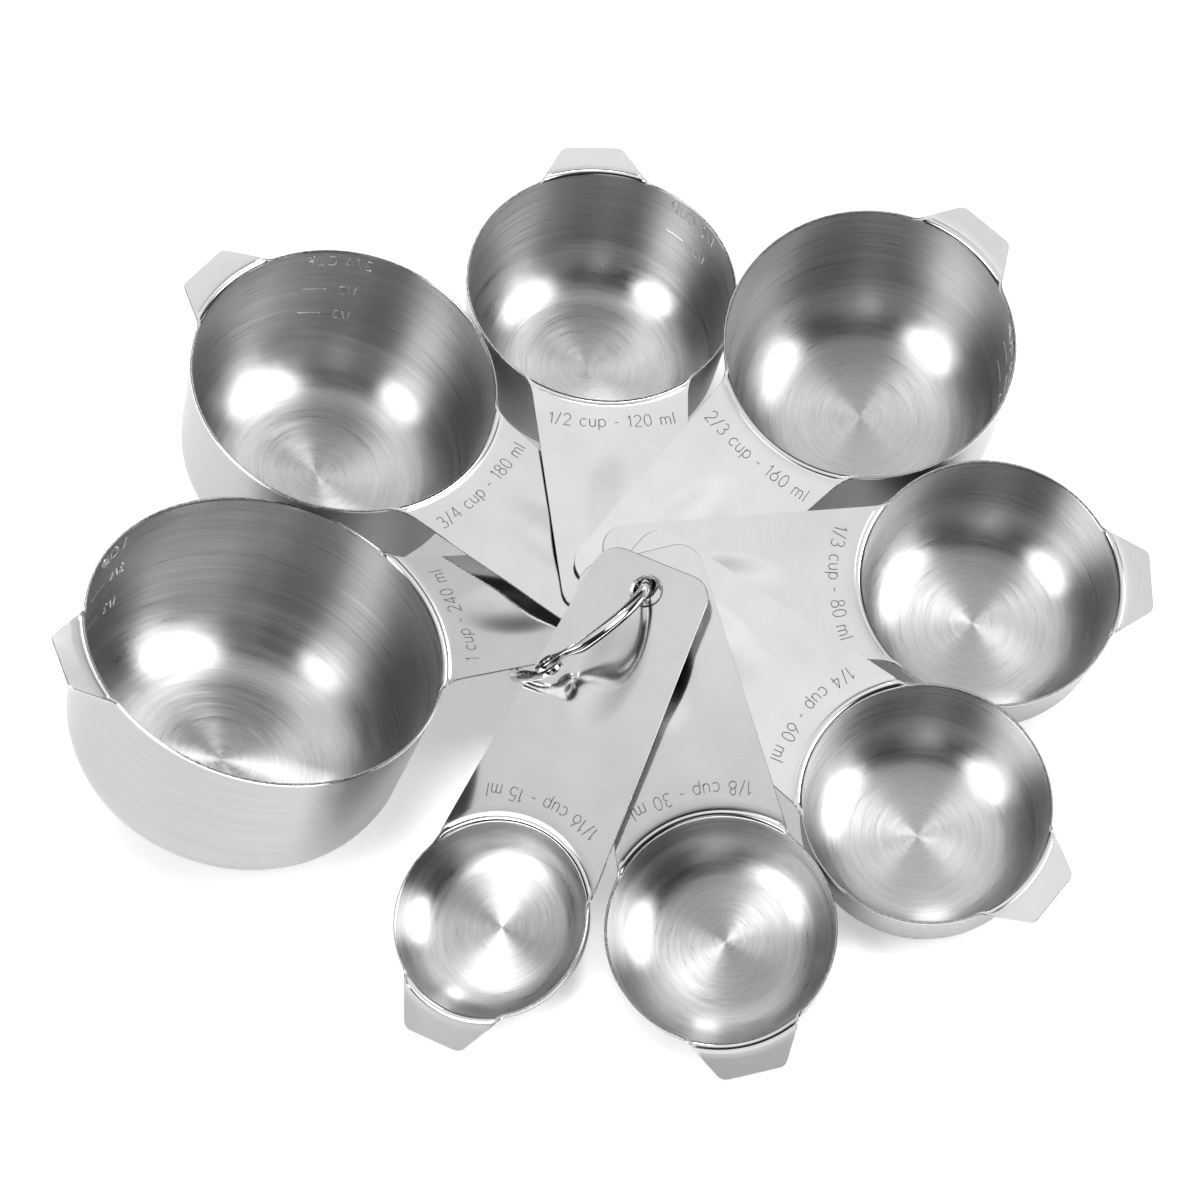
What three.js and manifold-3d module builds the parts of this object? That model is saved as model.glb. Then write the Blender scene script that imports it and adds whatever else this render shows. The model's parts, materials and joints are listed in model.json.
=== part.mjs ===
// A set of eight stainless steel measuring cups on a hinged ring, fanned out on a table.
// Millimetres, +Z up, the table top at z = 0.
import * as THREE from 'three';
import { mergeVertices } from 'three/addons/utils/BufferGeometryUtils.js';
import Module from 'manifold-3d';

const wasm = await Module();
wasm.setup();

const radians = THREE.MathUtils.degToRad;

// Every cup is one pressing: a round bowl, a long flat handle and a short tab opposite it.
const SHEET = 0.7;                  // steel thickness
const WALL_SLOPE = radians(3.5);    // draft of the bowl's wall
const CORNER_TO_RADIUS = 0.42;      // inside bottom corner, as a share of the rim radius
const CORNER_TO_DEPTH = 0.85;       // and at most this share of the depth
const HOLE_TO_BOWL = 86;            // the same on every cup, so that the bowls nest
const HOLE_RADIUS = 3.2;
const HOLE_TO_END = 7.6;
const END_HALF_WIDTH = 14.8;
const END_CORNER = 6;
const HANDLE_SPREAD = 0.076;        // growth of the half width per mm towards the bowl
const HANDLE_FILLET = 10;
const TAB_LENGTH = 8.3;
const TAB_HALF_WIDTH = 7.6;
const TAB_CORNER = 2.5;
const TAB_ROOT_HALF_WIDTH = 14.5;
const TAB_FILLET = 5;
const BOWL_SEGMENTS = 36;

// Rim radius and depth of each bowl, and how its handle lies on the ring: the direction the
// bowl points from the hole, its rise and its sideways lean in degrees, and the hole's place.
const CUPS = [
  { name: 'one_cup', radius: 42.5, depth: 47.8, heading: 200.18, rise: 17.52, lean: -0.74, hole: [-8.04, 3.51, 28.08] },
  { name: 'three_quarter_cup', radius: 37.6, depth: 44.6, heading: 142.49, rise: 11.89, lean: -5.06, hole: [-2.64, 3.32, 31.27] },
  { name: 'half_cup', radius: 33.7, depth: 38.4, heading: 93.52, rise: 4.94, lean: -5.84, hole: [-1.09, 4.21, 33.75] },
  { name: 'two_thirds_cup', radius: 35.5, depth: 46.7, heading: 46.12, rise: 9.97, lean: -9.03, hole: [0.69, 3.06, 35.92] },
  { name: 'third_cup', radius: 31.1, depth: 29.9, heading: 2.55, rise: -3.24, lean: -14.06, hole: [1.52, 0.38, 39.13] },
  { name: 'quarter_cup', radius: 29.2, depth: 25.4, heading: -38.32, rise: -8.76, lean: -9.38, hole: [3, -2.2, 42.4] },
  { name: 'eighth_cup', radius: 26.6, depth: 15.6, heading: -77.3, rise: -16.47, lean: -9.77, hole: [2.93, -3.84, 45.38] },
  { name: 'sixteenth_cup', radius: 23.2, depth: 10.2, heading: -117.43, rise: -21.75, lean: -5.95, hole: [4.01, -7.84, 48.12] },
];

// Ring: round wire in two halves, hinged at a flat riveted knuckle and snapped shut beyond the
// stack of handles. Angles run round the ring's own axis.
const WIRE_RADIUS = 1.5;
const RING_RADIUS = 18.92;
const RING_CENTRE = [-11.83, -11.91, 37.78];
const RING_TILT = 53.07;            // of the ring's axis from the vertical
const RING_HEADING = 135.06;        // the way that axis tips
const KNUCKLE_ANGLE = 122;
const SNAP_ANGLE = 324;
const EYE_RADIUS = 3.3;
const EYE_CLEARANCE = 0.4;
const EYE_SPLIT = 0.15;             // half the gap between the two eyes
const RIVET_RADIUS = 0.92;
const RIVET_HOLE = 1;
const RIVET_HEAD = 1.9;
const RIVET_HEAD_RISE = 0.55;
const RIVET_PLAY = 0.12;            // under each head
const NIB_RADIUS = 0.8;
const NIB_LENGTH = 1.2;
const SNAP_GAP = 0.3;

const steel = new THREE.MeshStandardMaterial({ color: 0xc4c5c7, metalness: 1, roughness: 0.28 });
const plating = new THREE.MeshStandardMaterial({ color: 0xd2d4d6, metalness: 1, roughness: 0.12 });

function solidOf(geometry) {
  const bare = new THREE.BufferGeometry();
  bare.setAttribute('position', geometry.getAttribute('position').clone());
  if (geometry.index) bare.setIndex(geometry.index.clone());
  const merged = mergeVertices(bare, 1e-4);
  return new wasm.Manifold(new wasm.Mesh({
    numProp: 3,
    vertProperties: new Float32Array(merged.getAttribute('position').array),
    triVerts: new Uint32Array(merged.index.array),
  }));
}

function geometryOf(solid) {
  const mesh = solid.getMesh();
  const geometry = new THREE.BufferGeometry();
  geometry.setAttribute('position', new THREE.BufferAttribute(new Float32Array(mesh.vertProperties), 3));
  geometry.setIndex(new THREE.BufferAttribute(new Uint32Array(mesh.triVerts), 1));
  const faceted = geometry.toNonIndexed();
  faceted.computeVertexNormals();
  return faceted;
}

function meshOf(name, geometry, material) {
  const mesh = new THREE.Mesh(geometry, material);
  mesh.name = name;
  return mesh;
}

function cylinder(radius, bottom, top, segments) {
  const geometry = new THREE.CylinderGeometry(radius, radius, top - bottom, segments);
  geometry.rotateX(Math.PI / 2);
  geometry.translate(0, 0, (top + bottom) / 2);
  return geometry;
}

// Points round an arc, both ends included.
function arcPoints(x, y, radius, from, to, spans) {
  const points = [];
  for (let i = 0; i <= spans; i += 1) {
    const angle = from + (to - from) * (i / spans);
    points.push(new THREE.Vector2(x + radius * Math.cos(angle), y + radius * Math.sin(angle)));
  }
  return points;
}

// The bowl's inside from the middle of its floor up to the rim, as radius and height.
function insideProfile(cup, offset) {
  const corner = Math.min(CORNER_TO_RADIUS * cup.radius, CORNER_TO_DEPTH * cup.depth);
  const rise = Math.tan(WALL_SLOPE);
  const middle = cup.radius - (cup.depth - corner) * rise - corner / Math.cos(WALL_SLOPE);
  const centreHeight = corner - cup.depth;
  const points = [new THREE.Vector2(0, -cup.depth - offset)];
  points.push(...arcPoints(middle, centreHeight, corner + offset, -Math.PI / 2, -WALL_SLOPE, 5));
  points.push(new THREE.Vector2(cup.radius + offset / Math.cos(WALL_SLOPE), 0));
  return points;
}

function bowl(cup) {
  const profile = [...insideProfile(cup, SHEET), ...insideProfile(cup, 0).reverse()];
  const geometry = new THREE.LatheGeometry(profile, BOWL_SEGMENTS);
  geometry.rotateX(Math.PI / 2);
  return geometry;
}

// One side of a strip that flares smoothly into the rim. The strip's straight edge runs from
// the point `edge` along the unit vector `along` towards the bowl at the origin.
function flare(edge, along, fillet, rimRadius, spans) {
  const outward = new THREE.Vector2(-along.y, along.x);
  if (outward.y < 0) outward.negate();
  const base = edge.clone().addScaledVector(outward, fillet);
  const forward = base.dot(along);
  const reach = (rimRadius + fillet) ** 2;
  const run = -forward - Math.sqrt(forward ** 2 - base.lengthSq() + reach);
  const centre = base.clone().addScaledVector(along, run);
  const start = Math.atan2(-outward.y, -outward.x);
  let end = Math.atan2(-centre.y, -centre.x);
  while (end - start > Math.PI) end -= 2 * Math.PI;
  while (end - start < -Math.PI) end += 2 * Math.PI;
  return arcPoints(centre.x, centre.y, fillet, start, end, spans);
}

// Rounds the corner where two straight edges meet.
function corner(before, point, after, radius, spans) {
  const back = before.clone().sub(point).normalize();
  const ahead = after.clone().sub(point).normalize();
  const half = Math.acos(back.dot(ahead)) / 2;
  const bisector = back.clone().add(ahead).normalize();
  const centre = point.clone().addScaledVector(bisector, radius / Math.sin(half));
  const first = point.clone().addScaledVector(back, radius / Math.tan(half)).sub(centre);
  const last = point.clone().addScaledVector(ahead, radius / Math.tan(half)).sub(centre);
  const start = Math.atan2(first.y, first.x);
  let end = Math.atan2(last.y, last.x);
  while (end - start > Math.PI) end -= 2 * Math.PI;
  while (end - start < -Math.PI) end += 2 * Math.PI;
  return arcPoints(centre.x, centre.y, radius, start, end, spans);
}

// The upper half of a strip's outline, from its outer end to the rim of the bowl.
function stripSide(end, endCorner, edgePoint, fillet, rimRadius) {
  const start = new THREE.Vector2(end, 0);
  const tip = new THREE.Vector2(end, edgePoint.tip);
  const root = new THREE.Vector2(edgePoint.rootX, edgePoint.rootY);
  const along = root.clone().sub(tip).normalize();
  return [...corner(start, tip, root, endCorner, 3), ...flare(tip, along, fillet, rimRadius, 4)];
}

// A flat strip joined to the rim; its inner edge follows the middle of the bowl's wall.
function strip(upper, cup, hole) {
  const last = upper[upper.length - 1];
  const from = Math.atan2(last.y, last.x);
  const side = Math.sign(last.x);
  const sweep = side > 0 ? -2 * from : 2 * (Math.PI - from);
  const inner = arcPoints(0, 0, cup.radius + SHEET / 2, from, from + sweep, 14);
  const lower = upper.map((p) => new THREE.Vector2(p.x, -p.y)).reverse();
  const shape = new THREE.Shape([...upper, ...inner, ...lower]);
  if (hole) shape.holes.push(new THREE.Path(arcPoints(-HOLE_TO_BOWL, 0, HOLE_RADIUS, 0, 2 * Math.PI, 20).slice(0, -1)));
  const geometry = new THREE.ExtrudeGeometry(shape, { depth: SHEET, bevelEnabled: false });
  geometry.translate(0, 0, -SHEET);
  return geometry;
}

// The bowl stands at the origin with its handle towards -X and its tab towards +X.
function cupGeometry(cup) {
  const joinRadius = cup.radius + 0.6 * SHEET;
  const handleEnd = -(HOLE_TO_BOWL + HOLE_TO_END);
  const handleEdge = { tip: END_HALF_WIDTH, rootX: 0, rootY: END_HALF_WIDTH - HANDLE_SPREAD * handleEnd };
  const tabEnd = cup.radius + TAB_LENGTH;
  const tabRootX = Math.sqrt(cup.radius ** 2 - TAB_ROOT_HALF_WIDTH ** 2);
  const tabEdge = { tip: TAB_HALF_WIDTH, rootX: tabRootX, rootY: TAB_ROOT_HALF_WIDTH };
  const handle = strip(stripSide(handleEnd, END_CORNER, handleEdge, HANDLE_FILLET, joinRadius), cup, true);
  const tab = strip(stripSide(tabEnd, TAB_CORNER, tabEdge, TAB_FILLET, joinRadius), cup, false);
  const whole = solidOf(bowl(cup)).add(solidOf(handle)).add(solidOf(tab));
  return geometryOf(whole);
}

function cupMesh(cup) {
  const geometry = cupGeometry(cup);
  geometry.translate(HOLE_TO_BOWL, 0, 0);
  const turn = new THREE.Euler(-radians(cup.lean), -radians(cup.rise), radians(cup.heading), 'ZYX');
  geometry.applyMatrix4(new THREE.Matrix4().makeRotationFromEuler(turn));
  geometry.translate(...cup.hole);
  return meshOf(cup.name, geometry, steel);
}

class RingArc extends THREE.Curve {
  constructor(from, to) {
    super();
    this.from = radians(from);
    this.to = radians(to);
  }

  getPoint(t) {
    const angle = this.from + (this.to - this.from) * t;
    return new THREE.Vector3(RING_RADIUS * Math.cos(angle), RING_RADIUS * Math.sin(angle), 0);
  }
}

function wire(from, to) {
  const section = new THREE.Shape(arcPoints(0, 0, WIRE_RADIUS, 0, 2 * Math.PI, 12).slice(0, -1));
  const steps = Math.round((to - from) / 11);
  return new THREE.ExtrudeGeometry(section, { steps, bevelEnabled: false, extrudePath: new RingArc(from, to) });
}

// A cylinder standing on the ring's plane at the knuckle.
function atKnuckle(radius, bottom, top, segments) {
  const geometry = cylinder(radius, bottom, top, segments);
  const angle = radians(KNUCKLE_ANGLE);
  geometry.translate(RING_RADIUS * Math.cos(angle), RING_RADIUS * Math.sin(angle), 0);
  return solidOf(geometry);
}

// A short peg along the wire's own direction, pointing back from the gate's free end.
function peg(radius, length) {
  const geometry = new THREE.CylinderGeometry(radius, radius, length, 12);
  const angle = radians(SNAP_ANGLE);
  geometry.rotateZ(angle);
  const back = SNAP_GAP / 2 - length / 2 + 0.5;
  const x = RING_RADIUS * Math.cos(angle) - Math.sin(angle) * back;
  const y = RING_RADIUS * Math.sin(angle) + Math.cos(angle) * back;
  geometry.translate(x, y, 0);
  return solidOf(geometry);
}

// The half that carries the stack of handles: upper eye, wire, socket.
function carrierSolid() {
  const gap = THREE.MathUtils.radToDeg(SNAP_GAP / 2 / RING_RADIUS);
  return solidOf(wire(KNUCKLE_ANGLE + 3, SNAP_ANGLE - gap))
    .subtract(atKnuckle(EYE_RADIUS + EYE_CLEARANCE, -3, EYE_SPLIT, 24))
    .add(atKnuckle(EYE_RADIUS, EYE_SPLIT, WIRE_RADIUS, 24))
    .subtract(atKnuckle(RIVET_HOLE, -3, 3, 16))
    .subtract(peg(NIB_RADIUS + SNAP_GAP, NIB_LENGTH + 2 * SNAP_GAP + 0.5));
}

// The half that swings open: lower eye, wire, nib.
function gateSolid() {
  const gap = THREE.MathUtils.radToDeg(SNAP_GAP / 2 / RING_RADIUS);
  return solidOf(wire(SNAP_ANGLE - 360 + gap, KNUCKLE_ANGLE - 3))
    .subtract(atKnuckle(EYE_RADIUS + EYE_CLEARANCE, -EYE_SPLIT, 3, 24))
    .add(atKnuckle(EYE_RADIUS, -WIRE_RADIUS, -EYE_SPLIT, 24))
    .subtract(atKnuckle(RIVET_HOLE, -3, 3, 16))
    .add(peg(NIB_RADIUS, NIB_LENGTH + 0.5));
}

// A flat head above, a domed one below, with the shank between.
function rivetGeometry() {
  const seat = WIRE_RADIUS + RIVET_PLAY;
  const profile = [
    new THREE.Vector2(0, -seat - RIVET_HEAD_RISE),
    new THREE.Vector2(0.6 * RIVET_HEAD, -seat - 0.8 * RIVET_HEAD_RISE),
    new THREE.Vector2(RIVET_HEAD, -seat),
    new THREE.Vector2(RIVET_RADIUS, -seat),
    new THREE.Vector2(RIVET_RADIUS, seat),
    new THREE.Vector2(RIVET_HEAD, seat),
    new THREE.Vector2(RIVET_HEAD, seat + 0.3),
    new THREE.Vector2(RIVET_HEAD - 0.25, seat + 0.5),
    new THREE.Vector2(0, seat + 0.5),
  ];
  const geometry = new THREE.LatheGeometry(profile, 16);
  geometry.rotateX(Math.PI / 2);
  const angle = radians(KNUCKLE_ANGLE);
  geometry.translate(RING_RADIUS * Math.cos(angle), RING_RADIUS * Math.sin(angle), 0);
  return geometryOf(solidOf(geometry));
}

function ringMesh(name, geometry) {
  const turn = new THREE.Euler(0, radians(RING_TILT), radians(RING_HEADING), 'ZYX');
  geometry.applyMatrix4(new THREE.Matrix4().makeRotationFromEuler(turn));
  geometry.translate(...RING_CENTRE);
  return meshOf(name, geometry, plating);
}

const group = new THREE.Group();
group.name = 'measuring_cup_set';
for (const cup of CUPS) {
  group.add(cupMesh(cup));
}
group.add(ringMesh('ring_carrier', geometryOf(carrierSolid())));
group.add(ringMesh('ring_gate', geometryOf(gateSolid())));
group.add(ringMesh('ring_rivet', rivetGeometry()));

// Stand the set on the table with the middle of its outline at x = y = 0.
const bounds = new THREE.Box3().setFromObject(group);
const middle = bounds.getCenter(new THREE.Vector3());
for (const mesh of group.children) {
  mesh.geometry.translate(-middle.x, -middle.y, -bounds.min.z);
}

export default group;
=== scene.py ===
# A set of eight stainless steel measuring cups on a hinged ring, fanned out on a table.
# Cup dimensions are in millimetres; every object is placed in metres in the frame of the CAD.
import json
import math

import bpy
import numpy as np
from mathutils import Euler, Matrix, Vector


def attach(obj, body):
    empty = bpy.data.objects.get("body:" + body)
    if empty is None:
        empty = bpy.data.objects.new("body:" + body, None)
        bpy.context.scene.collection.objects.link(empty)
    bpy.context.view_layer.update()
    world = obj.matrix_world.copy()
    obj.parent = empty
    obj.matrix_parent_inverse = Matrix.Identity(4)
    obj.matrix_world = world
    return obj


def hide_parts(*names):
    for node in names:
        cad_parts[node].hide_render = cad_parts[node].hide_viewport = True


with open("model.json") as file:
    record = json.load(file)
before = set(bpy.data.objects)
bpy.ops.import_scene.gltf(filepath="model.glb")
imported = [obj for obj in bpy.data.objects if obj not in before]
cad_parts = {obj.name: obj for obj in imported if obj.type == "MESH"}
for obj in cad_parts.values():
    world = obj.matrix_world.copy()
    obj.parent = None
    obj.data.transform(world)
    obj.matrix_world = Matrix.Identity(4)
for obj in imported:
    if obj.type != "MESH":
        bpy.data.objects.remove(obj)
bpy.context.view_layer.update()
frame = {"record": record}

MM = 0.001

# Sheet and wire are 0.1 mm thinner than nominal, so that neighbours stay clear as they move.
SHEET = 0.6
WALL_SLOPE = math.radians(3.5)
BEND_TO_RADIUS = 0.42       # bottom corner of the bowl, as a share of the rim radius
BEND_TO_DEPTH = 0.85        # and at most this share of the depth
HOLE_TO_BOWL = 86.0
HOLE_RADIUS = 3.3
HOLE_TO_END = 7.6
END_HALF_WIDTH = 14.8
END_CORNER = 6.0
HANDLE_SPREAD = 0.076
HANDLE_FILLET = 10.0
TAB_LENGTH = 8.3
TAB_HALF_WIDTH = 7.6
TAB_CORNER = 2.5
TAB_ROOT_HALF_WIDTH = 14.5
TAB_FILLET = 5.0

ROLL = 1.3          # radius of the rounded shoulder between bowl and plate
CREASE = 0.14       # depth of the fine crease round that shoulder
EDGE = 0.15         # softening of every cut edge
PLATE_START = 2.2   # width of plate over which the rim turns from a cut edge into a lip

# The soft oval dish pressed into the top of each handle.
DISH_X = -65.0
DISH_HALF_LENGTH = 16.5
DISH_HALF_WIDTH = 8.5
DISH_DEPTH = 0.55

# Which material a face of the pressing has.
BOWL_INSIDE, PLATE_FACE, BOWL_OUTSIDE, SHEARED_EDGE = range(4)

# Name, rim radius, depth, heading, rise, lean (degrees), place of the hole, text on the handle,
# and marks on the wall: the capacity, then part measures with their depth as a share of the bowl's.
CUPS = [
    ("one_cup", 42.5, 47.8, 200.18, 17.52, -0.74, (-8.04, 3.51, 28.08), "1 cup - 240 ml",
     ("1 CUP", ("3/4", 0.25), ("1/2", 0.5))),
    ("three_quarter_cup", 37.6, 44.6, 142.49, 11.89, -5.06, (-2.64, 3.32, 31.27), "3/4 cup - 180 ml",
     ("3/4 CUP", ("1/2", 0.31), ("1/3", 0.53))),
    ("half_cup", 33.7, 38.4, 93.52, 4.94, -5.84, (-1.09, 4.21, 33.75), "1/2 cup - 120 ml",
     ("1/2 CUP", ("1/3", 0.32))),
    ("two_thirds_cup", 35.5, 46.7, 46.12, 9.97, -9.03, (0.69, 3.06, 35.92), "2/3 cup - 160 ml",
     ("2/3 CUP", ("1/2", 0.24), ("1/3", 0.48))),
    ("third_cup", 31.1, 29.9, 2.55, -3.24, -14.06, (1.52, 0.38, 39.13), "1/3 cup - 80 ml",
     ("1/3 CUP",)),
    ("quarter_cup", 29.2, 25.4, -38.32, -8.76, -9.38, (3.0, -2.2, 42.4), "1/4 cup - 60 ml",
     ("1/4 CUP", ("1/8", 0.48))),
    ("eighth_cup", 26.6, 15.6, -77.3, -16.47, -9.77, (2.93, -3.84, 45.38), "1/8 cup - 30 ml", ()),
    ("sixteenth_cup", 23.2, 10.2, -117.43, -21.75, -5.95, (4.01, -7.84, 48.12), "1/16 cup - 15 ml", ()),
]

RING_CENTRE = (-11.83, -11.91, 37.78)
RING_RADIUS = 18.92
RING_TILT = 53.07           # of the ring's axis from the vertical
RING_HEADING = 135.06       # the way that axis tips
WIRE_RADIUS = 1.45
KNUCKLE_ANGLE = 122.0
SNAP_ANGLE = 324.0
SNAP_GAP = 0.15             # from the middle of the snap to the end of each half
EYE_RADIUS = 3.15
EYE_NEAR, EYE_FAR = 0.15, 1.5   # faces of an eye, from the middle of the wire
EYE_EDGE = 0.3              # softening of an eye's rim
RIVET_HOLE = 1.0


def joint(name):
    return next(j for j in frame["record"]["behaviour"]["joints"] if j["name"] == name)


def cup_turn(cup):
    _, _, _, heading, rise, lean, _, _, _ = cup
    z = Matrix.Rotation(math.radians(heading), 3, "Z")
    y = Matrix.Rotation(-math.radians(rise), 3, "Y")
    x = Matrix.Rotation(-math.radians(lean), 3, "X")
    return z @ y @ x


# The CAD stands the set with the middle of its outline at x = y = 0.
first_hinge = Vector(joint("three_quarter_cup_swing")["pos_m"]) / MM
first_normal = cup_turn(CUPS[1]) @ Vector((0, 0, 1))
SHIFT = first_hinge + first_normal * (SHEET / 2) - Vector(CUPS[1][6])


def cup_matrix(cup):
    """From a cup's own frame, with the bowl's rim centre at the origin, to the row's frame."""
    turn = cup_turn(cup)
    origin = Vector(cup[6]) + SHIFT + turn @ Vector((HOLE_TO_BOWL, 0, 0))
    return Matrix.Translation(origin * MM) @ turn.to_4x4() @ Matrix.Scale(MM, 4)


# ---------------------------------------------------------------- outlines


def arc(x, y, radius, start, end, step=0.25):
    spans = max(4, int(abs(end - start) * radius / step))
    angles = np.linspace(start, end, spans + 1)
    return np.stack([x + radius * np.cos(angles), y + radius * np.sin(angles)], 1)


def nearer(angle, reference):
    while angle - reference > math.pi:
        angle -= 2 * math.pi
    while angle - reference < -math.pi:
        angle += 2 * math.pi
    return angle


def corner(before, point, after, radius):
    back = (before - point) / np.linalg.norm(before - point)
    ahead = (after - point) / np.linalg.norm(after - point)
    half = math.acos(float(back @ ahead)) / 2
    bisector = (back + ahead) / np.linalg.norm(back + ahead)
    centre = point + bisector * radius / math.sin(half)
    first = point + back * radius / math.tan(half) - centre
    last = point + ahead * radius / math.tan(half) - centre
    start = math.atan2(first[1], first[0])
    return arc(centre[0], centre[1], radius, start, nearer(math.atan2(last[1], last[0]), start))


def flare(edge, along, fillet, rim):
    outward = np.array([-along[1], along[0]])
    if outward[1] < 0:
        outward = -outward
    base = edge + outward * fillet
    forward = float(base @ along)
    run = -forward - math.sqrt(forward**2 - float(base @ base) + (rim + fillet) ** 2)
    centre = base + along * run
    start = math.atan2(-outward[1], -outward[0])
    end = nearer(math.atan2(-centre[1], -centre[0]), start)
    return arc(centre[0], centre[1], fillet, start, end)


def strip_side(end, end_corner, tip_y, root, fillet, rim):
    start, tip, root = np.array([end, 0.0]), np.array([end, tip_y]), np.array(root)
    along = (root - tip) / np.linalg.norm(root - tip)
    rounded = corner(start, tip, root, end_corner)
    flared = flare(tip, along, fillet, rim)
    flat = np.linspace(start, rounded[0], 40)[:-1]
    straight = np.linspace(rounded[-1], flared[0], 140)[1:-1]
    return np.concatenate([flat, rounded, straight, flared])


def outline(radius):
    """Distance of the sheet's edge from the bowl's axis, as a function of the angle off the tab."""
    rim = radius + SHEET
    handle_end = -(HOLE_TO_BOWL + HOLE_TO_END)
    handle = strip_side(handle_end, END_CORNER, END_HALF_WIDTH,
                        (0, END_HALF_WIDTH - HANDLE_SPREAD * handle_end), HANDLE_FILLET, rim)
    root_x = math.sqrt(radius**2 - TAB_ROOT_HALF_WIDTH**2)
    tab = strip_side(radius + TAB_LENGTH, TAB_CORNER, TAB_HALF_WIDTH,
                     (root_x, TAB_ROOT_HALF_WIDTH), TAB_FILLET, rim)
    points = np.concatenate([tab, handle[::-1]])
    angles = np.arctan2(points[:, 1], points[:, 0])
    reach = np.hypot(points[:, 0], points[:, 1])
    tab_angle = math.atan2(tab[-1][1], tab[-1][0])
    handle_angle = math.atan2(handle[-1][1], handle[-1][0])
    return angles, reach, tab_angle, handle_angle


def spoke_angles(tab_angle, handle_angle):
    """Directions of the mesh's spokes over half a turn, closer together where the edge turns."""
    deg = math.radians
    tab = tab_angle * (1 - (1 - np.linspace(0, 1, 30)) ** 1.5)
    plain = np.linspace(tab_angle, handle_angle, max(8, int((handle_angle - tab_angle) / deg(2.2))))
    near_end = math.pi - deg(11)
    wide = handle_angle + (near_end - handle_angle) * np.linspace(0, 1, 34) ** 1.5
    end = np.linspace(near_end, math.pi, 27)
    half = np.concatenate([tab, plain[1:], wide[1:], end[1:]])
    return np.concatenate([half, 2 * math.pi - half[1:-1][::-1]])


def smooth(t):
    t = np.clip(t, 0, 1)
    return t * t * (3 - 2 * t)


# ---------------------------------------------------------------- the pressed sheet


def thumb_rest(x, y):
    """Depth of the dish at a place on the handle."""
    away = np.hypot((x - DISH_X) / DISH_HALF_LENGTH, y / DISH_HALF_WIDTH)
    return DISH_DEPTH * np.clip(1 - away**2, 0, 1) ** 2


def sheet_rings(radius, depth):
    """Rings of the top face from the middle of the floor out to the cut edge, with their normals.

    Where there is a handle or tab the wall rolls over into the plate, and where there is none it
    ends in a cut edge: `plated` goes from 0 to 1 between the two, for each spoke.
    """
    angles, reach, tab_angle, handle_angle = outline(radius)
    spokes = spoke_angles(tab_angle, handle_angle)
    folded = np.where(spokes > math.pi, 2 * math.pi - spokes, spokes)
    edge = np.interp(folded, angles, reach)
    plated = smooth((edge - radius - SHEET) / PLATE_START)
    plain = 1 - plated

    slope_sin, slope_cos, slope_tan = (f(WALL_SLOPE) for f in (math.sin, math.cos, math.tan))
    bend = min(BEND_TO_RADIUS * radius, BEND_TO_DEPTH * depth)
    middle = radius - (depth - bend) * slope_tan - bend / slope_cos
    profile = [(r, -depth, 0, 1) for r in np.linspace(0.02, 1, 7) * middle]
    for a in np.linspace(-math.pi / 2, -WALL_SLOPE, 15)[1:]:
        across, along = math.cos(a), math.sin(a)
        profile.append((middle + bend * across, bend - depth + bend * along, -across, -along))
    foot = profile[-1][1]
    if foot < -ROLL:
        for z in np.linspace(foot, -ROLL, 6)[1:]:
            profile.append((radius + z * slope_tan, z, -slope_cos, slope_sin))
    one = np.ones_like(spokes)
    rings = [tuple(value * one for value in row) for row in profile]

    start_r, start_z = profile[-1][:2]
    shoulder = np.minimum(np.maximum(edge - start_r, 0.3), ROLL)
    for a in np.linspace(0, math.pi / 2, 9)[1:]:
        lip_r = start_r + shoulder * (1 - math.cos(a))
        lip_z = start_z * (1 - math.sin(a))
        wall_z = start_z - (start_z + EDGE) * a / (math.pi / 2)
        wall_r = radius + wall_z * slope_tan
        rings.append((plated * lip_r + plain * wall_r, plated * lip_z + plain * wall_z,
                      -plated * math.cos(a) - plain, plated * math.sin(a)))
    last = rings[-1][0]
    outer = np.maximum(edge - SHEET * plain - EDGE * plated, last)
    cut_z = -EDGE * plain
    fade = np.minimum(1, (outer - last) / 2)
    for offset, drop in ((0.25, 0.35), (0.5, 1), (0.78, 0.55), (1.1, 0.25), (1.7, 0.12), (2.6, 0)):
        crease = plated * CREASE * drop * fade
        rings.append((np.minimum(last + offset, outer), cut_z - crease, -plain, plated))
    inner = rings[-1][0]
    for t in np.linspace(0, 1, 42)[1:]:
        rings.append((inner + (outer - inner) * t, cut_z, -plain, plated))

    out = np.stack([np.cos(spokes), np.sin(spokes), 0 * spokes], 1)
    up = np.array([0, 0, 1.0])
    top = np.array([r[:, None] * out + z[:, None] * up for r, z, _, _ in rings])
    normals = np.array([nr[:, None] * out + nz[:, None] * up for _, _, nr, nz in rings])
    outward = plated[:, None] * out + plain[:, None] * up
    return top, normals, outward


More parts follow.
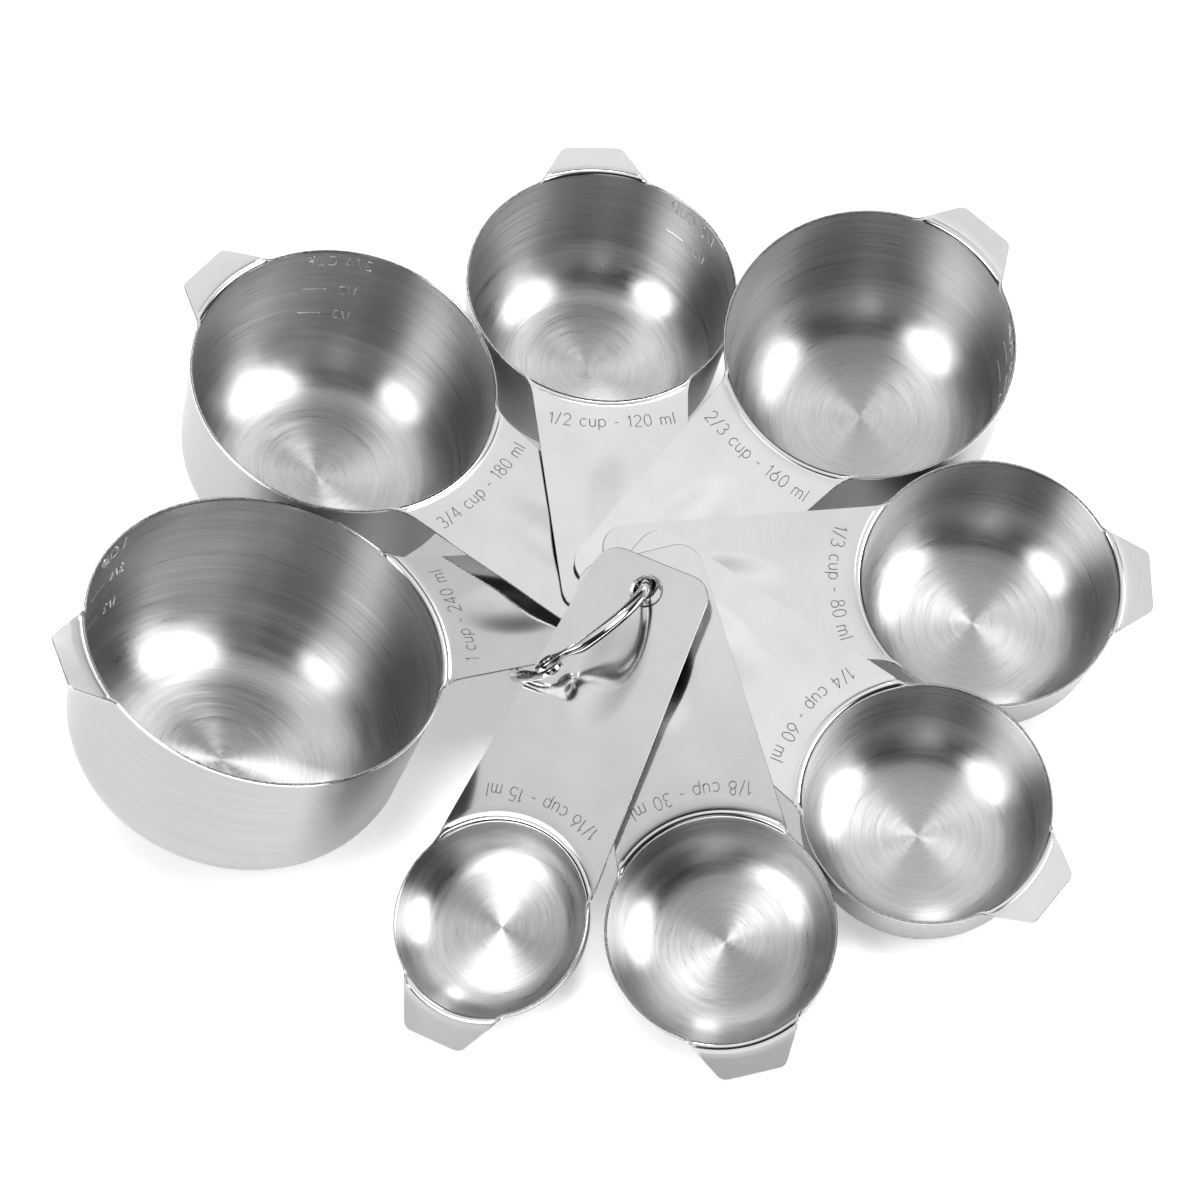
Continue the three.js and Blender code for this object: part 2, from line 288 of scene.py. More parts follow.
def cup_sheet(cup):
    """The whole pressing as one closed mesh, each face with the kind of its material."""
    name, radius, depth = cup[:3]
    top, normals, outward = sheet_rings(radius, depth)
    under = top - normals * SHEET
    top_edge = top[-1] + (outward - normals[-1]) * EDGE
    under_edge = under[-1] + (outward + normals[-1]) * EDGE
    beyond_lip = np.hypot(top[:, :, 0], top[:, :, 1]) > radius + 3
    top[:, :, 2] -= np.where(beyond_lip, thumb_rest(top[:, :, 0], top[:, :, 1]), 0)
    rows = np.concatenate([top, top_edge[None], under_edge[None], under[::-1]])
    count_r, count_s = rows.shape[:2]

    vertices, index = [], np.zeros((count_r, count_s), int)
    for j in range(count_s):
        for i in range(count_r):
            if i and np.linalg.norm(rows[i, j] - rows[i - 1, j]) < 0.004:
                index[i, j] = index[i - 1, j]
                continue
            index[i, j] = len(vertices)
            vertices.append(tuple(rows[i, j]))
    centre_top = len(vertices)
    vertices.append((0, 0, -depth))
    centre_under = len(vertices)
    vertices.append((0, 0, -depth - SHEET))

    faces, kinds = [], []

    def face(corners, kind):
        kept = [c for k, c in enumerate(corners) if c != corners[k - 1]]
        if len(set(kept)) > 2 and len(set(kept)) == len(kept):
            faces.append(kept)
            kinds.append(kind)

    bowl_rows = next(i for i in range(len(top)) if top[i, 0, 2] > -ROLL * 0.5)
    for j in range(count_s):
        k = (j + 1) % count_s
        face([centre_top, index[0, j], index[0, k]], BOWL_INSIDE)
        face([centre_under, index[-1, k], index[-1, j]], BOWL_OUTSIDE)
        for i in range(count_r - 1):
            if i < bowl_rows:
                kind = BOWL_INSIDE
            elif i in (len(top) - 1, len(top), len(top) + 1):
                kind = SHEARED_EDGE
            elif i > len(top) and count_r - 1 - i <= bowl_rows:
                kind = BOWL_OUTSIDE
            else:
                kind = PLATE_FACE
            face([index[i, j], index[i + 1, j], index[i + 1, k], index[i, k]], kind)

    mesh = bpy.data.meshes.new(name + "_sheet")
    mesh.from_pydata(vertices, [], faces)
    mesh.polygons.foreach_set("material_index", kinds)
    mesh.polygons.foreach_set("use_smooth", [True] * len(faces))
    return mesh


def face_numbers(mesh, name):
    values = np.empty(len(mesh.polygons), int)
    mesh.polygons.foreach_get(name, values)
    return values


def add_brushing(mesh):
    """UV map that the materials take the brushing's direction from.

    On the bowl U runs round it, and on the flat plate it runs across the handle.
    """
    layer = mesh.uv_layers.new(name="brush")
    co = np.empty(len(mesh.vertices) * 3)
    mesh.vertices.foreach_get("co", co)
    co = co.reshape(-1, 3)
    loops = np.empty(len(mesh.loops), int)
    mesh.loops.foreach_get("vertex_index", loops)
    starts, totals, kinds = (
        face_numbers(mesh, name) for name in ("loop_start", "loop_total", "material_index"))
    owner = np.repeat(np.arange(len(mesh.polygons)), totals)
    order = np.concatenate([np.arange(s, s + t) for s, t in zip(starts, totals)])
    owner_of = np.empty(len(loops), int)
    owner_of[order] = owner
    p = co[loops]
    angle = np.arctan2(p[:, 1], p[:, 0])
    middle_x = np.bincount(owner_of, p[:, 0]) / totals
    middle_y = np.bincount(owner_of, p[:, 1]) / totals
    face_angle = np.arctan2(middle_y, middle_x)[owner_of]
    turn = angle - face_angle
    turn = (turn + math.pi) % (2 * math.pi) - math.pi
    radial = np.hypot(p[:, 0], p[:, 1])
    u_bowl = (face_angle + turn) / (2 * math.pi)
    u_bowl = np.where(radial < 1e-3, face_angle / (2 * math.pi), u_bowl)
    v_bowl = (radial - p[:, 2]) / 100
    flat = kinds[owner_of] == PLATE_FACE
    u = np.where(flat, p[:, 1] / 100, u_bowl)
    v = np.where(flat, p[:, 0] / 100, v_bowl)
    uv = np.stack([u, v], 1)
    layer.data.foreach_set("uv", uv.astype(np.float32).ravel())


# ---------------------------------------------------------------- solids for cutting and lettering


def cylinder_mesh(name, rows, segments=48):
    """A closed turned solid from rows of (radius, height), lowest first."""
    vertices, faces = [], []
    for r, z in rows:
        for k in range(segments):
            a = 2 * math.pi * k / segments
            vertices.append((r * math.cos(a), r * math.sin(a), z))
    for i in range(len(rows) - 1):
        low, high = i * segments, (i + 1) * segments
        for k in range(segments):
            n = (k + 1) % segments
            faces.append([low + k, low + n, high + n, high + k])
    faces.append(list(range(segments))[::-1])
    faces.append([(len(rows) - 1) * segments + k for k in range(segments)])
    mesh = bpy.data.meshes.new(name)
    mesh.from_pydata(vertices, [], faces)
    return mesh


# Single-stroke letters on a grid 4 wide and 6 high, with an x-height of 4.
LETTER_HEIGHT = 6
LETTER_GAP = 1.2


def bow(cx, cy, rx, ry, start, end, n=10):
    return [(cx + rx * math.cos(math.radians(a)), cy + ry * math.sin(math.radians(a)))
            for a in np.linspace(start, end, n)]


GLYPHS = {
    "0": (3.4, [bow(1.7, 3, 1.6, 3, 0, 360, 21)]),
    "1": (1.8, [[(0.2, 4.6), (1.3, 6), (1.3, 0)]]),
    "2": (3.4, [bow(1.7, 4.3, 1.5, 1.7, 165, -35, 11) + [(0.1, 0), (3.3, 0)]]),
    "3": (3.4, [bow(1.6, 4.5, 1.4, 1.5, 150, -85, 11) + bow(1.6, 1.6, 1.6, 1.6, 85, -150, 12)]),
    "4": (3.6, [[(2.6, 0), (2.6, 6), (0.1, 1.7), (3.5, 1.7)]]),
    "5": (3.4, [[(3.0, 6), (0.6, 6), (0.3, 3.3)] + bow(1.6, 1.9, 1.7, 1.9, 120, -150, 14)]),
    "6": (3.4, [[(2.7, 6)] + bow(1.7, 1.9, 1.6, 1.9, 160, 520, 21)]),
    "8": (3.4, [bow(1.7, 4.6, 1.3, 1.4, 270, 630, 15), bow(1.7, 1.6, 1.6, 1.6, 90, 450, 17)]),
    "/": (2.4, [[(0, -0.4), (2.3, 6.3)]]),
    "-": (2.0, [[(0.1, 2.3), (1.9, 2.3)]]),
    " ": (1.7, []),
    "c": (3.0, [bow(1.7, 2, 1.6, 2, 45, 315, 15)]),
    "u": (3.0, [[(0.2, 4), (0.2, 1.6)] + bow(1.5, 1.5, 1.3, 1.5, 180, 360, 10) + [(2.8, 4)],
                [(2.8, 1.6), (2.8, 0)]]),
    "p": (3.2, [[(0.2, 4), (0.2, -1.8)], bow(1.7, 2, 1.5, 2, 180, 540, 19)]),
    "m": (4.8, [[(0.2, 0), (0.2, 4)], bow(1.3, 2.8, 1.1, 1.2, 180, 0, 8) + [(2.4, 0)],
                bow(3.5, 2.8, 1.1, 1.2, 180, 0, 8) + [(4.6, 0)]]),
    "l": (1.0, [[(0.4, 6), (0.4, 0)]]),
    "C": (3.6, [bow(2, 3, 1.9, 3, 45, 315, 17)]),
    "U": (3.6, [[(0.2, 6), (0.2, 1.8)] + bow(1.8, 1.8, 1.6, 1.8, 180, 360, 11) + [(3.4, 6)]]),
    "P": (3.4, [[(0.2, 0), (0.2, 6), (1.9, 6)] + bow(1.9, 4.5, 1.4, 1.5, 90, -90, 9) + [(0.2, 3)]]),
}


def strokes(text, height):
    """Polylines of a line of text, centred on x = 0, with capitals `height` tall from y = 0."""
    scale = height / LETTER_HEIGHT
    x, lines = 0.0, []
    for letter in text:
        width, paths = GLYPHS[letter]
        for path in paths:
            lines.append([((x + px) * scale, py * scale) for px, py in path])
        x += width + LETTER_GAP
    middle = (x - LETTER_GAP) * scale / 2
    return [[(px - middle, py) for px, py in line] for line in lines]


def resampled(line, step):
    points = [np.array(line[0])]
    for a, b in zip(line, line[1:]):
        a, b = np.array(a), np.array(b)
        n = max(1, int(np.linalg.norm(b - a) / step))
        points += [a + (b - a) * (i + 1) / n for i in range(n)]
    return points


def ribbons(name, lines, place, width, height):
    """Raised strokes: each line of text becomes a low rounded ridge on the surface place(u, v)."""
    vertices, faces = [], []
    section = [(-1, 0), (-0.7, 0.75), (0, 1), (0.7, 0.75), (1, 0)]
    for line in lines:
        points = resampled(line, 0.35)
        base = len(vertices)
        for i, p in enumerate(points):
            ahead = points[min(i + 1, len(points) - 1)] - points[max(i - 1, 0)]
            ahead = ahead / max(np.linalg.norm(ahead), 1e-9)
            across = np.array([-ahead[1], ahead[0]])
            end = i in (0, len(points) - 1)
            for s, h in section:
                q = p + across * s * width / 2 * (0.75 if end else 1)
                vertices.append(place(q[0], q[1], h * height * (0.6 if end else 1)))
        n = len(section)
        for i in range(len(points) - 1):
            for k in range(n - 1):
                a = base + i * n + k
                faces.append([a, a + n, a + n + 1, a + 1])
            a = base + i * n
            faces.append([a + n - 1, a + 2 * n - 1, a + n, a])
        faces.append([base + k for k in range(n)])
        faces.append([base + (len(points) - 1) * n + k for k in range(n)][::-1])
    mesh = bpy.data.meshes.new(name)
    mesh.from_pydata(vertices, [], faces)
    mesh.polygons.foreach_set("use_smooth", [True] * len(faces))
    return mesh


def handle_text(cup):
    """Fine strokes across the handle beside the rim, tops towards the bowl."""
    name, radius = cup[:2]
    bend = 52.0 if radius < 32 else 110.0    # radius of the curve the line of text follows
    base_line = radius + 8.2
    letter, stroke, rise, sunk = 3.3, 0.3, 0.06, 0.02

    def place(u, v, h):
        angle = u / bend
        reach = bend - v
        x = -(base_line - bend) - reach * math.cos(angle)
        y = -reach * math.sin(angle)
        return (x, y, h - sunk)

    return ribbons(name + "_capacity", strokes(cup[7], letter), place, stroke, rise)


def wall_radius(radius, z):
    return radius + z * math.tan(WALL_SLOPE)


def bowl_marks(cup, inside):
    """Capacity and part measures on the bowl's wall, to one side of the tab."""
    name, radius, depth = cup[:3]
    centre = math.radians(-50)
    stroke, rise, sunk = 0.55, 0.18 if inside else 0.05, 0.02
    capacity, small, drop = 3.5, 2.9, 1.6
    lines = []
    rows = [(strokes(cup[8][0], capacity), 0.0, -5.8)]
    for label, share in cup[8][1:]:
        level = -share * depth
        rows.append((strokes(label, small), -4.0, level - 1.4 - drop))
        rows.append(([[(1.6, 0), (8.2, 0)]], 0.0, level - drop))
    for paths, du, dv in rows:
        for path in paths:
            lines.append([(u + du, v + dv) for u, v in path])

    def place(u, v, h):
        r = wall_radius(radius, v)
        r = r - h + sunk if inside else r + SHEET / math.cos(WALL_SLOPE) + h - sunk
        angle = centre + u / radius
        return (r * math.cos(angle), r * math.sin(angle), v)

    side = "_marks_inside" if inside else "_marks_outside"
    return ribbons(name + side, lines, place, stroke, rise)


# ---------------------------------------------------------------- materials


def new_material(name, colour, roughness, anisotropy=0.0):
    material = bpy.data.materials.new(name)
    material.use_nodes = True
    tree = material.node_tree
    shader = tree.nodes["Principled BSDF"]
    shader.inputs["Metallic"].default_value = 1.0
    shader.inputs["Base Color"].default_value = (*colour, 1)
    shader.inputs["Roughness"].default_value = roughness
    shader.inputs["Anisotropic"].default_value = anisotropy
    return material, tree, shader


def link_tangent(tree, shader, turn):
    tangent = tree.nodes.new("ShaderNodeTangent")
    tangent.direction_type = "UV_MAP"
    tangent.uv_map = "brush"
    tree.links.new(tangent.outputs["Tangent"], shader.inputs["Tangent"])
    shader.inputs["Anisotropic Rotation"].default_value = turn


def noise(tree, vector, scale, detail, roughness):
    node = tree.nodes.new("ShaderNodeTexNoise")
    node.inputs["Scale"].default_value = scale
    node.inputs["Detail"].default_value = detail
    node.inputs["Roughness"].default_value = roughness
    tree.links.new(vector, node.inputs["Vector"])
    return node.outputs["Fac"]


def maths(tree, operation, a, b=None):
    node = tree.nodes.new("ShaderNodeMath")
    node.operation = operation
    for socket, value in zip(node.inputs, (a, b)):
        if value is None:
            continue
        if isinstance(value, (int, float)):
            socket.default_value = value
        else:
            tree.links.new(value, socket)
    return node.outputs[0]


def map_range(tree, value, low, high, to_low, to_high):
    node = tree.nodes.new("ShaderNodeMapRange")
    node.inputs["From Min"].default_value = low
    node.inputs["From Max"].default_value = high
    node.inputs["To Min"].default_value = to_low
    node.inputs["To Max"].default_value = to_high
    tree.links.new(value, node.inputs["Value"])
    return node.outputs["Result"]


def own_place(tree):
    """Position in the piece's own frame, in millimetres."""
    node = tree.nodes.new("ShaderNodeAttribute")
    node.attribute_name = "place"
    return node.outputs["Vector"]


def ring_vector(tree, round_scale, across_scale):
    """Coordinates in a cup's own frame that change slowly round the bowl and fast across it."""
    split = tree.nodes.new("ShaderNodeSeparateXYZ")
    tree.links.new(own_place(tree), split.inputs[0])
    x, y, z = split.outputs
    squares = maths(tree, "ADD", maths(tree, "MULTIPLY", x, x), maths(tree, "MULTIPLY", y, y))
    radial = maths(tree, "SQRT", maths(tree, "ADD", squares, 0.0001))
    join = tree.nodes.new("ShaderNodeCombineXYZ")
    cos_part = maths(tree, "MULTIPLY", maths(tree, "DIVIDE", x, radial), round_scale)
    sin_part = maths(tree, "MULTIPLY", maths(tree, "DIVIDE", y, radial), round_scale)
    across = maths(tree, "MULTIPLY", maths(tree, "SUBTRACT", radial, z), across_scale)
    tree.links.new(cos_part, join.inputs[0])
    tree.links.new(sin_part, join.inputs[1])
    tree.links.new(across, join.inputs[2])
    return join.outputs[0]


def add_bump(tree, shader, height, strength, distance):
    bump = tree.nodes.new("ShaderNodeBump")
    bump.inputs["Strength"].default_value = strength
    bump.inputs["Distance"].default_value = distance
    tree.links.new(height, bump.inputs["Height"])
    tree.links.new(bump.outputs["Normal"], shader.inputs["Normal"])


def vary(tree, shader, value, low, high, roughness, least, most):
    """Lets a pattern drive the colour between two greys and the roughness between two shares."""
    tree.links.new(grey_ramp(tree, value, low, high), shader.inputs["Base Color"])
    spread = map_range(tree, value, 0.3, 0.7, roughness * least, roughness * most)
    tree.links.new(spread, shader.inputs["Roughness"])


def mix(tree, a, share, b):
    """share of a, and the rest of b."""
    return maths(tree, "ADD", maths(tree, "MULTIPLY", a, share),
                 maths(tree, "MULTIPLY", b, round(1 - share, 6)))


def grey_ramp(tree, value, low, high):
    ramp = tree.nodes.new("ShaderNodeValToRGB")
    ramp.color_ramp.elements[0].position = 0.3
    ramp.color_ramp.elements[1].position = 0.7
    ramp.color_ramp.elements[0].color = (low, low, low * 1.005, 1)
    ramp.color_ramp.elements[1].color = (high, high, high * 1.005, 1)
    tree.links.new(value, ramp.inputs["Fac"])
    return ramp.outputs["Color"]


def spun_steel(name, roughness, low, high, anisotropy, round_scale, bump):
    """Turned or polished round the bowl's axis: fine concentric lines."""
    material, tree, shader = new_material(name, (0.6, 0.6, 0.6), roughness, anisotropy)
    link_tangent(tree, shader, 0.25)
    fine = noise(tree, ring_vector(tree, round_scale, 2.2), 1.0, 5.0, 0.75)
    broad = noise(tree, ring_vector(tree, round_scale * 0.6, 0.9), 1.0, 3.0, 0.6)
    lines = mix(tree, fine, 0.6, broad)
    vary(tree, shader, lines, low, high, roughness, 0.8, 1.25)
    add_bump(tree, shader, fine, bump, 0.00004)
    return material


def satin_steel(name, roughness, low, high, anisotropy):
    """Flat handle stock: near-mirror with a faint grain and cloudy polish."""
    material, tree, shader = new_material(name, (0.7, 0.7, 0.7), roughness, anisotropy)
    link_tangent(tree, shader, 0.0)
    place = own_place(tree)
    stretch = tree.nodes.new("ShaderNodeMapping")
    stretch.inputs["Scale"].default_value = (4.0, 0.12, 4.0)
    tree.links.new(place, stretch.inputs["Vector"])
    grain = noise(tree, stretch.outputs["Vector"], 1.0, 4.0, 0.6)
    cloud = noise(tree, place, 0.06, 3.0, 0.5)
    both = mix(tree, grain, 0.35, cloud)
    vary(tree, shader, both, low, high, roughness, 0.85, 1.2)
    add_bump(tree, shader, grain, 0.05, 0.00002)
    return material


def plain_steel(name, colour, roughness, scale):
    """Plain or plated steel with slight unevenness."""
    material, tree, shader = new_material(name, colour, roughness)
    wear = noise(tree, own_place(tree), scale, 4.0, 0.6)
    vary(tree, shader, wear, colour[0] * 0.85, colour[0] * 1.05, roughness, 0.7, 1.4)
    return material


INSIDE = spun_steel("spun_inside", 0.3, 0.46, 0.74, 0.92, 1.6, 0.7)
# The outer walls are the same steel as the inside, but get a much darker grey: painted shade that
# darkens them like their reflections.
SHADED_OUTSIDE = spun_steel("spun_outside_painted_shade", 0.34, 0.29, 0.38, 0.7, 1.2, 0.15)
PLATE = satin_steel("satin_plate", 0.11, 0.6, 0.68, 0.2)
CUT_EDGE = plain_steel("sheared_edge", (0.46, 0.46, 0.46), 0.24, 0.9)
LETTERS = plain_steel("etched_letters", (0.22, 0.22, 0.22), 0.35, 1.5)
MARKS = plain_steel("raised_marks", (0.9, 0.9, 0.9), 0.2, 1.5)
DENTS = plain_steel("pressed_marks", (0.34, 0.34, 0.34), 0.24, 1.5)
RING = plain_steel("ring_plating", (0.66, 0.66, 0.67), 0.07, 0.9)
RIVET = plain_steel("rivet_plating", (0.6, 0.6, 0.61), 0.12, 1.4)


# ---------------------------------------------------------------- building the cups


def add_object(name, mesh, matrix):
    thing = bpy.data.objects.new(name, mesh)
    bpy.context.scene.collection.objects.link(thing)
    thing.matrix_world = matrix
    return thing


def settle(thing):
    """Stores each point's place in the piece's own millimetres, then bakes the piece's matrix."""
    mesh = thing.data
    own = np.empty(len(mesh.vertices) * 3, np.float32)
    mesh.vertices.foreach_get("co", own)
    mesh.attributes.new("place", "FLOAT_VECTOR", "POINT").data.foreach_set("vector", own)
    mesh.transform(thing.matrix_world)
    thing.matrix_world = Matrix.Identity(4)


def cut(target, cutter_mesh, matrix):
    """Subtracts a solid from the target's mesh and keeps the result."""
    tool = add_object("cutter", cutter_mesh, matrix)
    modifier = target.modifiers.new("cut", "BOOLEAN")
    modifier.operation = "DIFFERENCE"
    modifier.solver = "EXACT"
    modifier.object = tool
    bpy.context.view_layer.update()
    graph = bpy.context.evaluated_depsgraph_get()
    result = bpy.data.meshes.new_from_object(target.evaluated_get(graph), depsgraph=graph)
    target.modifiers.clear()
    target.data = result
    bpy.data.objects.remove(tool)


def build_cup(cup):
    name, radius, depth = cup[:3]
    matrix = cup_matrix(cup)
    mesh = cup_sheet(cup)
    for material in (INSIDE, PLATE, SHADED_OUTSIDE, CUT_EDGE):
        mesh.materials.append(material)
    body = add_object(name + "_pressing", mesh, matrix)
    # The bore widens to either side, which leaves the hole's edges soft.
    bore = cylinder_mesh("bore", [(HOLE_RADIUS + wider, z) for wider, z in (
        (0.6, -SHEET - 1.2), (0.22, -SHEET - 0.5), (0, -SHEET - 0.28),
        (0, -0.72), (0.1, -0.56), (0.34, -0.46), (0.9, 0.1))])
    bore_matrix = matrix @ Matrix.Translation((-HOLE_TO_BOWL, 0, 0))
    cut(body, bore, bore_matrix)
    add_brushing(body.data)
    body.data.set_sharp_from_angle(angle=math.radians(32))
    settle(body)
    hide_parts(name)
    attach(body, name)

    pieces = [(handle_text(cup), LETTERS)]
    if cup[8]:
        pieces += [(bowl_marks(cup, True), MARKS), (bowl_marks(cup, False), DENTS)]
    for piece_mesh, material in pieces:
        piece_mesh.materials.append(material)
        piece = add_object(piece_mesh.name, piece_mesh, matrix)
        settle(piece)
        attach(piece, name)


for cup in CUPS:
    build_cup(cup)


# ---------------------------------------------------------------- the ring


def ring_matrix():
    """From the ring's own frame, with its centre at the origin and its axis along z."""
    heading = Matrix.Rotation(math.radians(RING_HEADING), 4, "Z")
    turn = heading @ Matrix.Rotation(math.radians(RING_TILT), 4, "Y")
    centre = (Vector(RING_CENTRE) + SHIFT) * MM
    return Matrix.Translation(centre) @ turn @ Matrix.Scale(MM, 4)


def ring_section(half_wide, half_high, turn):
    """Outline across the wire with corners of radius `turn`: (outwards, along the axis)."""
    per_corner = 7
    points = []
    for quarter, (u, v) in enumerate(((1, 1), (-1, 1), (-1, -1), (1, -1))):
        for j in range(per_corner):
            a = math.pi / 2 * (quarter + (j + 0.5) / per_corner)
            points.append((u * (half_wide - turn) + turn * math.cos(a),
                           v * (half_high - turn) + turn * math.sin(a)))
    return points


def ring_half(name, direction, sweep, eye_low, eye_high):
    """Round wire that slowly flattens and widens into a round eye at the knuckle.

    Each station is a distance along the wire from the rivet, below 0 on the far side of the eye.
    """
    eye_middle, eye_half = (eye_low + eye_high) / 2, (eye_high - eye_low) / 2
    flat_until, round_from, widening, waist = 5.0, 10.0, 5.5, 0.2
    stations = [-EYE_RADIUS * math.cos(math.radians(a)) for a in np.linspace(5, 90, 14)]
    stations += list(np.arange(0.5, round_from, 0.5))
    stations += list(np.linspace(round_from, math.radians(sweep) * RING_RADIUS, 70))
    if direction < 0:
        stations.reverse()
    vertices, faces = [], []
    for away in stations:
        angle = math.radians(KNUCKLE_ANGLE) + direction * away / RING_RADIUS
        rounded = float(smooth(np.array(away / flat_until - 1)))
        if away < 0:
            half_wide = math.sqrt(EYE_RADIUS**2 - away**2)
        else:
            arm = WIRE_RADIUS - waist * (1 - rounded)
            narrowed = float(smooth(np.array(away / widening)))
            half_wide = EYE_RADIUS + (arm - EYE_RADIUS) * narrowed
        half_high = eye_half + (WIRE_RADIUS - eye_half) * rounded
        turn = min(EYE_EDGE + (WIRE_RADIUS - EYE_EDGE) * rounded, half_wide)
        section = ring_section(half_wide, half_high, turn)
        for u, v in section:
            r = RING_RADIUS + u
            height = v + eye_middle * (1 - rounded)
            vertices.append((r * math.cos(angle), r * math.sin(angle), height))
    count = len(section)
    for i in range(len(stations) - 1):
        near, far = i * count, (i + 1) * count
        for k in range(count):
            n = (k + 1) % count
            faces.append([near + k, far + k, far + n, near + n])
    faces.append(list(range(count)))
    faces.append([(len(stations) - 1) * count + k for k in range(count)][::-1])
    mesh = bpy.data.meshes.new(name)
    mesh.from_pydata(vertices, [], faces)
    return mesh


def knuckle_matrix():
    angle = math.radians(KNUCKLE_ANGLE)
    place = (RING_RADIUS * math.cos(angle), RING_RADIUS * math.sin(angle), 0)
    return ring_matrix() @ Matrix.Translation(place)


def finish_ring_piece(thing, material, node, body):
    thing.data.materials.clear()
    thing.data.materials.append(material)
    # The flat faces of the eyes and of the rivet's head stay flat in the light.
    faces = thing.data.polygons
    faces.foreach_set("use_smooth", [abs(face.normal.z) < 0.9999 for face in faces])
    thing.data.set_sharp_from_angle(angle=math.radians(40))
    settle(thing)
    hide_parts(node)
    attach(thing, body)


gap = math.degrees(SNAP_GAP / RING_RADIUS)
halves = (("carrier", 1, SNAP_ANGLE - KNUCKLE_ANGLE, EYE_NEAR, EYE_FAR, "ring"),
          ("gate", -1, KNUCKLE_ANGLE + 360 - SNAP_ANGLE, -EYE_FAR, -EYE_NEAR, "gate"))
for half_name, way, sweep, eye_low, eye_high, body in halves:
    mesh = ring_half(half_name, way, sweep - gap, eye_low, eye_high)
    half_ring = add_object("ring_" + half_name + "_wire", mesh, ring_matrix())
    rivet_hole = cylinder_mesh("rivet_hole", [(RIVET_HOLE, -3), (RIVET_HOLE, 3)], 32)
    cut(half_ring, rivet_hole, knuckle_matrix())
    finish_ring_piece(half_ring, RING, "ring_" + half_name, body)

# A domed head below, the shank, and a flat head with a shallow ring above.
rivet_rows = [(0.05, -2.2)]
for a in np.linspace(80, 5, 8):
    rivet_rows.append((1.9 * math.cos(math.radians(a)), -1.62 - 0.58 * math.sin(math.radians(a))))
rivet_rows += [(0.92, -1.6), (0.92, 1.6), (1.75, 1.62), (1.9, 1.7), (1.9, 1.82),
               (1.75, 2.0), (1.5, 2.07), (0.7, 2.1), (0.55, 2.0), (0.05, 1.98)]
rivet = add_object("ring_rivet_pin", cylinder_mesh("rivet", rivet_rows, 40), knuckle_matrix())
finish_ring_piece(rivet, RIVET, "ring_rivet", "ring")


# ---------------------------------------------------------------- floor, light and camera

floor_mesh = bpy.data.meshes.new("floor")
half = 3.0
floor_corners = [(-half, -half, 0), (half, -half, 0), (half, half, 0), (-half, half, 0)]
floor_mesh.from_pydata(floor_corners, [], [(0, 1, 2, 3)])
floor = add_object("floor", floor_mesh, Matrix.Translation((0, 0, -0.0002)))
floor_material, floor_tree, floor_shader = new_material("pale_floor", (0.93, 0.93, 0.93), 0.9)
floor_shader.inputs["Metallic"].default_value = 0.0
floor_shader.inputs["Specular IOR Level"].default_value = 0.1
floor_shader.inputs["Emission Color"].default_value = (1, 1, 1, 1)
floor_shader.inputs["Emission Strength"].default_value = 0.34
floor_mesh.materials.append(floor_material)


def soft_box(name, place, width, depth, power):
    """A rectangular light aimed at the middle of the table."""
    light = bpy.data.lights.new(name, "AREA")
    light.shape = "RECTANGLE"
    light.size, light.size_y = width, depth
    light.energy = power
    thing = bpy.data.objects.new(name, light)
    thing.location = place
    thing.rotation_euler = (Vector() - Vector(place)).to_track_quat("-Z", "Y").to_euler()
    bpy.context.scene.collection.objects.link(thing)
    return thing


soft_box("key", (0.1, 1.0, 1.0), 0.3, 0.12, 1.2)

# Light for the table alone, from straight above, so the gaps under the handles stay dark.
table_light = soft_box("table_light", (0.0, 0.0, 2.5), 1.1, 1.1, 44)
table_light.visible_glossy = False

world = bpy.data.worlds.new("studio")
bpy.context.scene.world = world
world.use_nodes = True
sky = world.node_tree
direction = sky.nodes.new("ShaderNodeTexCoord").outputs["Generated"]


def glow(toward, core, fade, strength):
    """Brightness of a round soft panel: full inside `core` degrees, none beyond `fade`."""
    dot = sky.nodes.new("ShaderNodeVectorMath")
    dot.operation = "DOT_PRODUCT"
    sky.links.new(direction, dot.inputs[0])
    dot.inputs[1].default_value = Vector(toward).normalized()
    step = sky.nodes.new("ShaderNodeMapRange")
    step.interpolation_type = "SMOOTHSTEP"
    step.inputs["From Min"].default_value = math.cos(math.radians(fade))
    step.inputs["From Max"].default_value = math.cos(math.radians(core))
    step.inputs["To Max"].default_value = strength
    sky.links.new(dot.outputs["Value"], step.inputs["Value"])
    return step.outputs["Result"]


def profile(value, low, high):
    """Smooth step from 0 at `low` to 1 at `high`."""
    step = sky.nodes.new("ShaderNodeMapRange")
    step.interpolation_type = "SMOOTHSTEP"
    rising = high > low
    step.inputs["From Min"].default_value = min(low, high)
    step.inputs["From Max"].default_value = max(low, high)
    step.inputs["To Min"].default_value = 0 if rising else 1
    step.inputs["To Max"].default_value = 1 if rising else 0
    sky.links.new(value, step.inputs["Value"])
    return step.outputs["Result"]


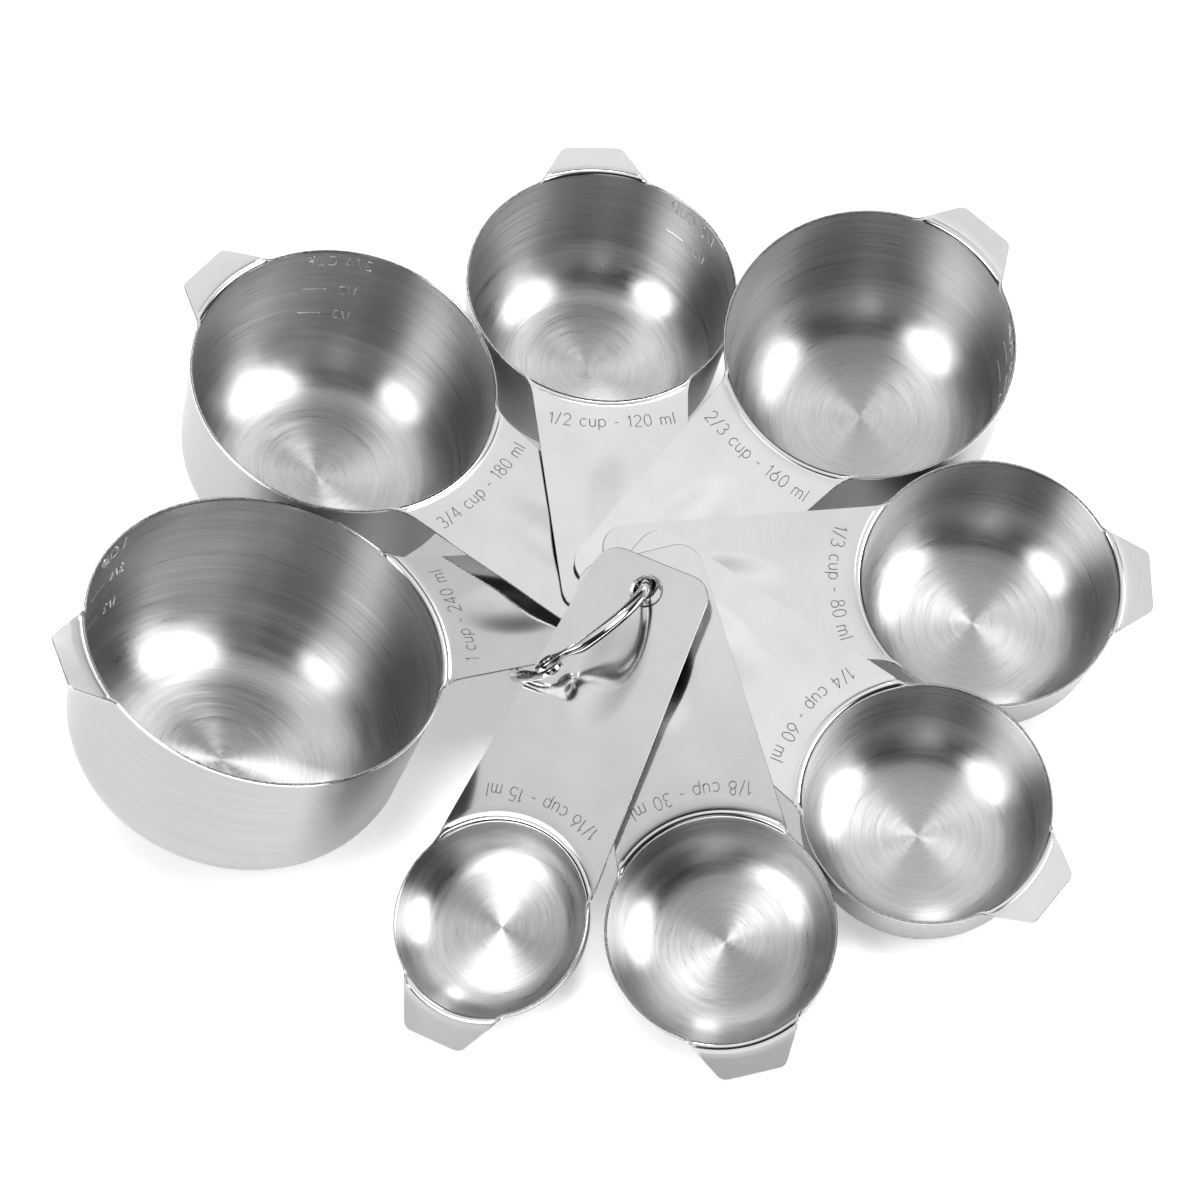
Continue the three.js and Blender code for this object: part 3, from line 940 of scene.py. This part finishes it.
# A wide overhead panel that reaches behind the table, brighter panels at the sides, dark in front.
split = sky.nodes.new("ShaderNodeSeparateXYZ")
sky.links.new(direction, split.inputs[0])
across = profile(maths(sky, "ABSOLUTE", split.outputs["X"]), 0.9, 0.36)
front, rear = (profile(split.outputs["Y"], *ends) for ends in ((-0.4, 0.05), (0.9, 0.7)))
along = maths(sky, "MULTIPLY", front, rear)
wave = maths(sky, "SINE", maths(sky, "ADD", maths(sky, "MULTIPLY", split.outputs["X"], 9.0), 1.9))
ripple = maths(sky, "SINE", maths(sky, "MULTIPLY", maths(sky, "ADD", split.outputs["Y"], 0.1), 13.0))
folds = maths(sky, "ADD", maths(sky, "MULTIPLY", maths(sky, "ADD", wave, ripple), 0.09), 0.9)
light_level = maths(sky, "MULTIPLY", maths(sky, "MULTIPLY", across, along), folds)
panels = (((0.74, -0.14, 0.66), 8, 25, 4.8), ((-0.56, -0.4, 0.73), 6, 20, 5.0),
          ((0.0, -0.9, 0.35), 4, 20, 0.5))
for panel in panels:
    light_level = maths(sky, "ADD", light_level, glow(*panel))
light_level = maths(sky, "ADD", light_level, 0.04)
# Seen directly, the backdrop is as pale as the table.
seen = sky.nodes.new("ShaderNodeLightPath").outputs["Is Camera Ray"]
shown = sky.nodes.new("ShaderNodeMix")
sky.links.new(seen, shown.inputs["Factor"])
sky.links.new(light_level, shown.inputs["A"])
shown.inputs["B"].default_value = 1.0
sky.links.new(shown.outputs["Result"], sky.nodes["Background"].inputs["Strength"])
sky.nodes["Background"].inputs["Color"].default_value = (1, 1, 1, 1)

camera_data = bpy.data.cameras.new("camera")
camera_data.sensor_width = 36.0
camera_data.lens = 128.6
camera_data.clip_start = 0.05
camera_data.clip_end = 20.0
camera = bpy.data.objects.new("camera", camera_data)
bpy.context.scene.collection.objects.link(camera)
bpy.context.scene.camera = camera
ELEVATION = math.radians(56.06)
look_at = (Vector((-6.97, 1.79, 30.0)) + SHIFT) * MM
back = Vector((0, -math.cos(ELEVATION), math.sin(ELEVATION)))
camera.location = look_at + back * 1.0366
camera.rotation_euler = Euler((math.pi / 2 - ELEVATION, 0, 0))

bpy.context.scene.view_settings.view_transform = "Standard"
bpy.context.scene.view_settings.look = "Medium High Contrast"

bpy.context.view_layer.update()
